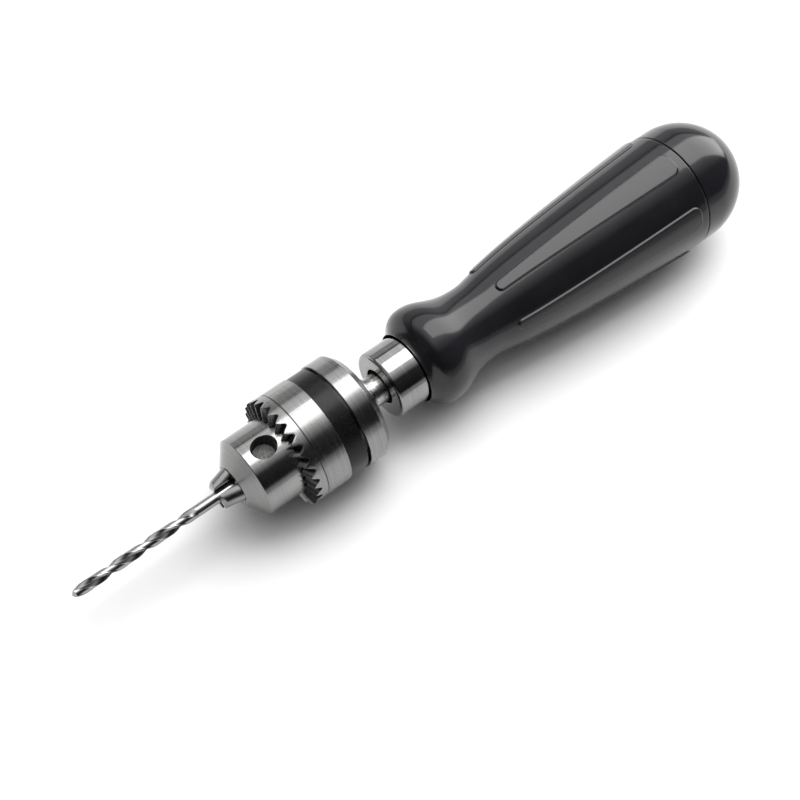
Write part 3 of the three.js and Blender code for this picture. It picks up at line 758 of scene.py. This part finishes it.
def chuck_body():
    """Nose, nut groove and rear flange, with the bores for the bit and the spindle in the turned profile."""
    profile = rounded([
        (NOSE_FACE, BIT_BORE_RADIUS, 0.1), (NOSE_FACE, NOSE_FACE_RADIUS, 0.25),
        (NOSE_CONE_END, NOSE_RADIUS, 0.3),
        (NUT_GROOVE[0], NOSE_RADIUS, 0), (NUT_GROOVE[0], NUT_GROOVE_RADIUS, 0),
        (NUT_GROOVE[1], NUT_GROOVE_RADIUS, 0), (NUT_GROOVE[1], BODY_REAR_RADIUS, 0),
        (FLANGE[0], BODY_REAR_RADIUS, 0), (FLANGE[0], SLEEVE_RADIUS, 0.12),
        (FLANGE[1] - FLANGE_CHAMFER, SLEEVE_RADIUS, 0.3), (FLANGE[1], SLEEVE_RADIUS - FLANGE_CHAMFER, 0.3),
        (FLANGE[1], STUD_BORE_RADIUS, 0.15), (WEB[1], STUD_BORE_RADIUS, 0), (WEB[1], WEB_HOLE_RADIUS, 0),
        (WEB[0], WEB_HOLE_RADIUS, 0), (WEB[0], BIT_BORE_RADIUS, 0),
    ], closed=True, steps=6)
    obj = lathe("keyed_chuck_body", profile, 240, closed=True)
    for number in range(3):
        cut(obj, key_drill(number))
    for number in (1, 2, 3):
        cut(obj, jaw_drill(number))
    shade(obj)
    settle_normals(obj, profile)
    for material in (chuck_steel, hole_steel, flange_steel):
        obj.data.materials.append(material)
    mark_chuck_surfaces(obj)
    return finish_piece(obj, "handle", "chuck_steel", ["chuck_body"])


def tool_coordinates(points):
    """Row coordinates in metres to tool coordinates in millimetres."""
    return (np.asarray(points) - np.array(datum)) @ TOOL_ROTATION / MM


def settle_normals(obj, profile, shortest=0.35):
    """After cutting, gives every face that still lies on the turned surface that surface's own normals.
    Faces on profile lines under the shortest length are left alone."""
    mesh = obj.data
    starts, ends = np.array(profile[:-1]), np.array(profile[1:])
    steps = ends - starts
    lengths = np.linalg.norm(steps, axis=1)
    keep = lengths > 1e-9
    starts, steps, lengths = starts[keep], steps[keep], lengths[keep]
    outwards = np.stack([steps[:, 1], -steps[:, 0]], 1) / lengths[:, None]
    corner_normals = np.array([tuple(c.vector) for c in mesh.corner_normals])
    vertices = tool_coordinates([tuple(v.co) for v in mesh.vertices])

    def line_of(polygon):
        """The profile line that a face lies on and the sign of its normal, or None."""
        centre = tool_coordinates([tuple(polygon.center)])[0]
        radius = math.hypot(centre[1], centre[2])
        if radius < 1e-6:
            return None
        normal = np.array(polygon.normal) @ TOOL_ROTATION
        outward = np.array((0.0, centre[1], centre[2])) / radius
        lean = np.array((normal[0], normal @ outward))
        if np.linalg.norm(lean) < 0.995:
            return None
        here = np.array((centre[0], radius))
        along = np.clip(np.einsum("ij,ij->i", here - starts, steps) / lengths ** 2, 0, 1)
        away = np.linalg.norm(starts + steps * along[:, None] - here, axis=1)
        match = np.where(np.abs(outwards @ lean) > 0.99, away, np.inf)
        best = int(match.argmin())
        if match[best] > 0.05 or lengths[best] < shortest:
            return None
        return best, 1.0 if outwards[best] @ lean > 0 else -1.0

    for polygon in mesh.polygons:
        found = line_of(polygon)
        if found is None:
            continue
        line, sign = found
        for loop in polygon.loop_indices:
            vertex = vertices[mesh.loops[loop].vertex_index]
            reach = math.hypot(vertex[1], vertex[2])
            if reach < 1e-6:
                continue
            radial = np.array((0.0, vertex[1], vertex[2])) / reach
            exact = sign * (outwards[line][0] * np.array((1.0, 0, 0)) + outwards[line][1] * radial)
            corner_normals[loop] = TOOL_ROTATION @ exact
    mesh.normals_split_custom_set(corner_normals.tolist())


def mark_chuck_surfaces(obj):
    """The walls and floors of the key holes take the second material, the rear flange the third."""
    spacing = 2 * math.pi / 3
    for polygon in obj.data.polygons:
        x, y, z = tool_coordinates([tuple(polygon.center)])[0]
        radius = math.hypot(y, z)
        angle = math.atan2(-y, z)
        across = radius * math.sin(angle - round(angle / spacing) * spacing)
        inside = math.hypot(x - KEY_HOLE_STATION, across) < KEY_HOLE_RADIUS + 0.05
        if inside and KEY_HOLE_FLOOR - 1.5 < radius < NOSE_RADIUS - KEY_HOLE_CHAMFER:
            polygon.material_index = 1
        if x > FLANGE[0] - 0.01 and radius > BODY_REAR_RADIUS - 2:
            polygon.material_index = 2


def tooth_depth(phase):
    """How deep the gap between two teeth is, 0 on a crest to 1 at the root, over one tooth pitch."""
    share = abs(phase - 0.5) * 2 / TOOTH_GAP_SHARE
    return float(np.interp(share, *zip(*TOOTH_FLANK)))


def tooth_phases():
    """Places over one tooth pitch, close together where the flank bends."""
    half = np.array([
        0.02, 0.05, 0.09, 0.105, 0.125, 0.16, 0.21, 0.26, 0.31, 0.37, 0.42, 0.455, 0.475, 0.488,
    ])
    return np.concatenate([0.5 - half[::-1], [0.5], 0.5 + half])


def chuck_sleeve():
    """The toothed sleeve: bevel teeth in front, an engraved line, and the recessed band behind."""
    phases = tooth_phases()
    pitch = 2 * math.pi / TOOTH_COUNT
    angles = np.concatenate([(tooth + phases - 0.5) * pitch for tooth in range(TOOTH_COUNT)])
    depth = np.tile([tooth_depth(phase) for phase in phases], TOOTH_COUNT)
    slope = (SLEEVE_SHOULDER - SLEEVE_FRONT) / (SLEEVE_RADIUS - SLEEVE_FRONT_BORE)
    apex = SLEEVE_SHOULDER - slope * SLEEVE_RADIUS
    root_slope = (SLEEVE_SHOULDER + TOOTH_DEPTH - apex) / SLEEVE_RADIUS

    def front(radius):
        return apex + radius * (slope + (root_slope - slope) * depth)

    # Each ring carries how dark its tooth gaps are made: oil and oxide together with painted shade.
    rings, soil_and_shade = [], []

    def add(station, radius, soil_and_shade_amount):
        rings.append(circle(station, radius, angles))
        soil_and_shade.append(np.broadcast_to(soil_and_shade_amount, depth.shape))

    for radius in (SLEEVE_FRONT_BORE, 11.3, 11.9, 12.7, 13.5, 14.2, 14.7, SLEEVE_RADIUS - 0.14):
        add(front(radius), radius, depth)
    add(front(SLEEVE_RADIUS - 0.05) + 0.015, SLEEVE_RADIUS - 0.05, depth)
    edge = front(SLEEVE_RADIUS)
    add(edge + 0.06, SLEEVE_RADIUS - 0.012, depth * 0.7)
    ring_start = edge + 0.14
    add(ring_start, SLEEVE_RADIUS, depth * 0.25)
    line_approach = LINE_GROOVE - 0.2
    for share in (0.35, 0.7, 1.0):
        add(ring_start + (line_approach - ring_start) * share, SLEEVE_RADIUS, 0.0)
    rear = rounded([
        (line_approach, SLEEVE_RADIUS, 0), (LINE_GROOVE - LINE_WIDTH / 2, SLEEVE_RADIUS, 0.05),
        (LINE_GROOVE, SLEEVE_RADIUS - LINE_DEPTH, 0), (LINE_GROOVE + LINE_WIDTH / 2, SLEEVE_RADIUS, 0.05),
        (BAND_START, SLEEVE_RADIUS, 0.08), (BAND_START + 0.02, BAND_RADIUS, 0.05),
        (SLEEVE_END, BAND_RADIUS, 0.15), (SLEEVE_END, SLEEVE_REAR_BORE, 0.1),
        (NUT_GROOVE[0], SLEEVE_REAR_BORE, 0), (NUT_GROOVE[0], SLEEVE_FRONT_BORE, 0),
        (SLEEVE_FRONT, SLEEVE_FRONT_BORE, 0),
    ], steps=3)[1:-1]
    for x, r in rear:
        add(x, r, 0.0)
    points, faces = skin(rings, closed=True)
    obj = piece("toothed_sleeve", points, faces, sharp=math.radians(28))
    store(obj, "soil_and_shade", np.concatenate(soil_and_shade))
    for material in (sleeve_steel, band_black):
        obj.data.materials.append(material)
    for polygon in obj.data.polygons:
        x, y, z = tool_coordinates([tuple(polygon.center)])[0]
        if x > BAND_START + 0.012 and math.hypot(y, z) > SLEEVE_REAR_BORE - 0.5:
            polygon.material_index = 1
    return finish_piece(obj, "sleeve", "chuck_steel", ["chuck_sleeve"])


# ---- Spindle and ferrule ----------------------------------------------------------------------------------

def pin_hole_cutter():
    """A cutter along Y, for the cross pin."""
    profile = ((-20, 0), (-20, PIN_HOLE_RADIUS), (20, PIN_HOLE_RADIUS), (20, 0))
    points, faces = skin(turned_rings(profile, full_turn(40)))
    swung = np.stack([points[:, 1] + PIN_STATION, points[:, 0], points[:, 2]], 1)
    return piece("pin_drill", swung, faces)


def spindle():
    """Threaded stud, collar, shank and tang in one piece."""
    profile = rounded([
        (SPINDLE_TAPPED_END, 0, 0), (SPINDLE_TAPPED_END, SCREW_BORE_RADIUS, 0),
        (STUD_START, SCREW_BORE_RADIUS, 0.2), (STUD_START, STUD_RADIUS, 0.5),
        (COLLAR[0], STUD_RADIUS, 0), (COLLAR[0], COLLAR_RADIUS, 0.2),
        (COLLAR[1], COLLAR_RADIUS, 0.35), (COLLAR[1], SHANK_RADIUS, 0.15),
        (SPINDLE_END, SHANK_RADIUS, 0.4), (SPINDLE_END, 0, 0),
    ])
    obj = cut(lathe("spindle_shank", profile, 120), pin_hole_cutter())
    shade(obj)
    return finish_piece(obj, "handle", "zinc_plated_steel", ["spindle"], zinc)


def ferrule():
    """A cup with a hole round the shank and a rolled front edge."""
    profile = rounded([
        (0, FERRULE_HOLE_RADIUS, 0.15), (0, FERRULE_RADIUS, 1.0),
        (FERRULE_END, FERRULE_RADIUS, 0.2), (FERRULE_END, FERRULE_BORE, 0.1),
        (FERRULE_WALL, FERRULE_BORE, 0.3), (FERRULE_WALL, FERRULE_HOLE_RADIUS, 0.1),
    ], closed=True, steps=7)
    obj = lathe("ferrule_cup", profile, 192, closed=True)
    return finish_piece(obj, "handle", "polished_steel", ["ferrule"], ferrule_steel)


# ---- Handle -----------------------------------------------------------------------------------------------

def bezier(p0, p1, p2, p3, steps):
    """Points of a cubic curve."""
    t = np.linspace(0, 1, steps + 1)[:, None]
    p0, p1, p2, p3 = (np.array(p, float) for p in (p0, p1, p2, p3))
    return p0 * (1 - t) ** 3 + 3 * p1 * t * (1 - t) ** 2 + 3 * p2 * t * t * (1 - t) + p3 * t ** 3


def grip_curve(steps=60):
    """The handle's plain outside, from the lip to the seam."""
    lip = bezier((LIP_FRONT, LIP_RADIUS), (11.4, 10.6), (11.2, BULGE[1]), BULGE, steps)
    neck = bezier(BULGE, (21.1, BULGE[1]), (23.0, NECK[1]), NECK, steps)
    widest = (HANDLE_END[0] - HANDLE_END_ROUNDING, HANDLE_END[1])
    grip = bezier(NECK, (38.9, NECK[1]), (34.3, 13.1), widest, 4 * steps)
    return np.concatenate([lip, neck[1:], grip[1:]])


def rib_half_width(station):
    """Half a rib's width, which grows from its nose to its rear corners."""
    front = RIB[0] + RIB_FRONT_HALF_WIDTH
    corner = RIB[1] - RIB_CORNER
    share = np.clip((station - front) / (corner - front), 0, 1)
    return RIB_FRONT_HALF_WIDTH + (RIB_REAR_HALF_WIDTH - RIB_FRONT_HALF_WIDTH) * share


def rib_distance(station, across):
    """Signed distance to a rib's outline, millimetres, negative inside."""
    across = np.abs(across)
    front = RIB[0] + RIB_FRONT_HALF_WIDTH
    corner = RIB[1] - RIB_CORNER
    flank = across - rib_half_width(station)
    nose = np.hypot(station - front, across) - RIB_FRONT_HALF_WIDTH
    inner = across - (RIB_REAR_HALF_WIDTH - RIB_CORNER)
    tail = np.where(inner > 0, np.hypot(station - corner, inner), station - corner) - RIB_CORNER
    return np.where(station < front, nose, np.where(station > corner, np.maximum(tail, flank), flank))


def handle_columns():
    """Places round a rib's sector: 0 the rib's middle, 1 its edge, 3 the middle of the plain stretch."""
    inside = np.concatenate([[0, 0.1, 0.2, 0.3], np.arange(0.335, 0.86, 0.035)])
    edge = np.arange(0.87, 1.125, 0.02)
    outside = np.array([1.16, 1.24, 1.38, 1.6, 1.9, 2.25, 2.6])
    half = np.concatenate([inside, edge, outside])
    return np.concatenate([-half[:0:-1], half, [3.0]])


def handle_stations():
    """Stations along the grip, each stretch with its own spacing, close together at the ribs' ends."""
    stretches = [
        (LIP_FRONT, 0.25), (12.0, 0.5), (32.0, 0.6), (RIB[0] - 0.6, 0.12), (RIB[0] + 2.6, 0.9),
        (RIB[1] - 3.2, 0.12), (RIB[1] + 0.5, 0.4), (HANDLE_END[0] - HANDLE_END_ROUNDING, 0),
    ]
    stations = []
    for (start, step), (end, _) in zip(stretches, stretches[1:]):
        stations += list(np.linspace(start, end, max(2, round((end - start) / step) + 1))[:-1])
    return np.array(stations + [stretches[-1][0]])


def handle_shell():
    """The moulded handle: tang bore and stub in front, ribbed grip outside, hollow behind."""
    curve = grip_curve()
    stations = handle_stations()
    radii = np.interp(stations, curve[:, 0], curve[:, 1])
    columns = handle_columns()
    sector = 2 * math.pi / RIB_COUNT
    place = np.abs(columns)
    side_of = np.sign(columns)

    def column_angles(station, radius):
        half = rib_half_width(station) / radius
        outer = half + (place - 1) / 2 * (sector / 2 - half)
        return side_of * np.where(place <= 1, place * half, outer)

    def ring(station, radius, ribbed=False):
        local = column_angles(station, radius)
        angles = np.concatenate([number * sector + local for number in range(RIB_COUNT)])
        raised = radius
        if ribbed:
            away = rib_distance(station, np.tile(local, RIB_COUNT) * radius)
            rise = np.clip((RIB_EDGE_OUTSIDE - away) / RIB_EDGE, 0, 1)
            raised = radius + RIB_HEIGHT * rise * rise * (3 - 2 * rise)
        return circle(station, raised, angles)

    def plain_rings(profile):
        return [ring(x, r) if r > 0 else np.array([[x, 0.0, 0.0]]) for x, r in profile]

    outside = [ring(x, r, RIB[0] - 1 < x < RIB[1] + 1) for x, r in zip(stations, radii)]
    end_station, end_radius = HANDLE_END
    hollow_front, hollow_end = HOLLOW
    inside = rounded([
        (end_station - HANDLE_END_ROUNDING, end_radius, 0), (end_station, end_radius - 0.05, 0.3),
        (end_station, hollow_end[1], 0.2), (*hollow_end, 0), (*hollow_front, 2.5), (hollow_front[0], 0, 0),
    ])
    front = rounded([
        (TANG_BORE_END, 0, 0), (TANG_BORE_END, TANG_BORE_RADIUS, 0), (STUB_FACE, TANG_BORE_RADIUS, 0.1),
        (STUB_FACE, STUB_RADIUS, 0.2), (RECESS_END, STUB_RADIUS, 0), (RECESS_END, LIP_BORE, 0),
        (LIP_FRONT + LIP_INNER_DEPTH, LIP_BORE, 0.1), (LIP_FRONT, LIP_RADIUS - 0.02, 0.25),
        (LIP_FRONT + 0.1, LIP_RADIUS + 0.25, 0),
    ])
    points, faces = skin(plain_rings(front[:-1]) + outside[1:] + plain_rings(inside[1:]))
    obj = piece("handle_moulding", points, faces, sharp=math.radians(50))
    cut(obj, pin_hole_cutter())
    shade(obj, math.radians(50))
    return finish_piece(obj, "handle", "handle_plastic", ["handle_shell"], charcoal)


def cap_shell():
    """The domed palm rest, hollow, with a hub for the pivot pin."""
    inner = CAP_RADIUS - CAP_WALL
    straight_end = CAP_CENTRE - 0.5
    hub_reach = math.degrees(math.asin(CAP_HUB_RADIUS / inner))
    rim = rounded([
        (straight_end, inner, 0), (CAP_START, inner, 0.2), (CAP_START, CAP_RADIUS, 0.3),
        (straight_end, CAP_RADIUS, 0),
    ])
    profile = [
        (CAP_BORE_END, 0), (CAP_BORE_END, CAP_BORE_RADIUS), (CAP_HUB_START, CAP_BORE_RADIUS),
        (CAP_HUB_START, CAP_HUB_RADIUS),
    ]
    profile += arc(CAP_CENTRE, inner, hub_reach, 90, 24)
    profile += [tuple(corner) for corner in rim]
    profile += arc(CAP_CENTRE, CAP_RADIUS, 90, 0, 64)[:-1] + [(CAP_CENTRE + CAP_RADIUS, 0)]
    obj = lathe("palm_cap", profile, 256, sharp=math.radians(50))
    return finish_piece(obj, "cap", "handle_plastic", ["cap_shell"], charcoal)


# ---- Hidden pieces keep their CAD shape -------------------------------------------------------------------

def dress_hidden_pieces():
    """The inner pieces' CAD meshes take their materials."""
    finishes = {
        hidden_steel: ("split_nut_half_a", "split_nut_half_b", "chuck_lock_screw", "spindle_pin",
                       "retaining_clip"),
        zinc: ("cap_pivot_pin", "thrust_washer", "spring_washer"),
        bush_bronze: ("pivot_bush",),
        charcoal: ("handle_end_plug",),
    }
    for material, nodes in finishes.items():
        for node in nodes:
            mesh = frame["nodes"][node].data
            mesh.materials.clear()
            mesh.materials.append(material)


# ---- Studio -----------------------------------------------------------------------------------------------

CAMERA_AT = (-117.184, -117.208, 318.634)
CAMERA_AZIMUTH = -46.962
CAMERA_ELEVATION = 62.936
CAMERA_ROLL = 9.093
CAMERA_LENS = 63.0


def make_camera():
    """The camera stands still with respect to the tool, so it is set in the tool's own axes."""
    azimuth, elevation, roll = (math.radians(a) for a in (CAMERA_AZIMUTH, CAMERA_ELEVATION, CAMERA_ROLL))
    right = Vector((math.cos(azimuth), math.sin(azimuth), 0))
    level = Vector((math.sin(azimuth), -math.cos(azimuth), 0))
    back = level * math.cos(elevation) + Vector((0, 0, math.sin(elevation)))
    up = back.cross(right)
    right, up = right * math.cos(roll) + up * math.sin(roll), up * math.cos(roll) - right * math.sin(roll)
    data = bpy.data.cameras.new("camera")
    data.lens = CAMERA_LENS
    data.sensor_width = 36
    data.clip_start = 0.01
    camera = place("camera", data)
    rotation = TOOL.to_3x3() @ Matrix((right, up, back)).transposed()
    camera.matrix_world = Matrix.Translation(Vector(to_row(CAMERA_AT))) @ rotation.to_4x4()
    bpy.context.scene.camera = camera


def light_panel(name, start, end, width, radiance, aim):
    """A flat studio light between two points, facing the aim; radiance is what a mirror would show of it."""
    start, end = Vector(start), Vector(end)
    along = (end - start).normalized()
    middle = (start + end) / 2
    towards = Vector(aim) - middle
    back = (along * towards.dot(along) - towards).normalized()
    data = bpy.data.lights.new(name, "AREA")
    data.shape = "RECTANGLE"
    data.size = (end - start).length
    data.size_y = width
    data.energy = radiance * math.pi * data.size * width
    light = place(name, data)
    rotation = Matrix((along, back.cross(along), back)).transposed()
    light.matrix_world = Matrix.Translation(middle) @ rotation.to_4x4()


def make_lights():
    """One long panel that leans over the tool, from above the bit down to beyond the cap."""
    light_panel("panel", (-0.15, 0.27, 1.0), (1.4, 0.1, 0.08), 0.52, 3.6, (0, 0, 0.015))


# Radiance of the surroundings by angle about the X axis, degrees from straight up towards the camera's side.
SURROUNDINGS = [
    (-180, 0.7), (-90, 0.7), (-69, 0.65), (-66.5, 0.12), (-63, 0.15), (-60, 1.6), (-13, 1.7), (5, 1.6),
    (16, 0.8), (32, 0.06), (75, 0.02), (79, 0.4), (90, 0.7), (180, 0.7),
]
WORLD_STRENGTH = 2.0
BIT_END_DIMMING = 0.06
# The dimming sets in and is complete at these X of a ray's direction.
DIMMED_FROM, DIMMED_TO = -0.3, -0.75


def make_world():
    """Soft surroundings: light behind the tool, a dark gap on the camera's side, dimmer past the bit."""
    world = bpy.data.worlds.new("studio")
    world.use_nodes = True
    tree = world.node_tree
    tree.nodes.clear()
    add, link = tree.nodes.new, tree.links.new
    coordinates = add("ShaderNodeTexCoord")
    split = add("ShaderNodeSeparateXYZ")
    link(coordinates.outputs["Generated"], split.inputs[0])
    forward = add("ShaderNodeMath")
    forward.operation = "MULTIPLY"
    forward.inputs[1].default_value = -1
    link(split.outputs[1], forward.inputs[0])
    angle = add("ShaderNodeMath")
    angle.operation = "ARCTAN2"
    link(forward.outputs[0], angle.inputs[0])
    link(split.outputs[2], angle.inputs[1])
    share = add("ShaderNodeMapRange")
    share.inputs["From Min"].default_value = -math.pi
    share.inputs["From Max"].default_value = math.pi
    link(angle.outputs[0], share.inputs["Value"])
    ramp = add("ShaderNodeValToRGB")
    link(share.outputs[0], ramp.inputs[0])
    while len(ramp.color_ramp.elements) < len(SURROUNDINGS):
        ramp.color_ramp.elements.new(0.5)
    for element, (degrees, radiance) in zip(ramp.color_ramp.elements, SURROUNDINGS):
        level = radiance / WORLD_STRENGTH
        element.position = (degrees + 180) / 360
        element.color = (level, level, level, 1)
    dimming = add("ShaderNodeMapRange")
    dimming.inputs["From Min"].default_value = DIMMED_TO
    dimming.inputs["From Max"].default_value = DIMMED_FROM
    dimming.inputs["To Min"].default_value = BIT_END_DIMMING * WORLD_STRENGTH
    dimming.inputs["To Max"].default_value = WORLD_STRENGTH
    link(split.outputs[0], dimming.inputs["Value"])
    background = add("ShaderNodeBackground")
    link(ramp.outputs[0], background.inputs["Color"])
    link(dimming.outputs[0], background.inputs["Strength"])
    output = add("ShaderNodeOutputWorld")
    link(background.outputs[0], output.inputs["Surface"])
    bpy.context.scene.world = world


def make_floor():
    """Pale matt paper."""
    n = Nodes("floor_paper")
    grain = n.noise(n.tool_space(), 0.02, 3.0, 0.5)
    tone = n.blend(n.spread(grain, 0.3, 0.7, 0.0, 1.0), grey(0.86), grey(0.88))
    n.set(Base_Color=tone, Roughness=0.9)
    n.shader.inputs["Specular IOR Level"].default_value = 0.1
    mesh = bpy.data.meshes.new("floor")
    reach = 6.0
    corners = [(-reach, -reach, 0), (reach, -reach, 0), (reach, reach, 0), (-reach, reach, 0)]
    mesh.from_pydata(corners, [], [(0, 1, 2, 3)])
    mesh.materials.append(n.material)
    floor = place("floor", mesh)


drill_bit()
for jaw_number in (1, 2, 3):
    jaw(jaw_number)
chuck_body()
chuck_sleeve()
spindle()
ferrule()
handle_shell()
cap_shell()
dress_hidden_pieces()
make_camera()
make_lights()
make_world()
make_floor()
bpy.context.scene.view_settings.view_transform = "Standard"
bpy.context.scene.view_settings.look = "None"
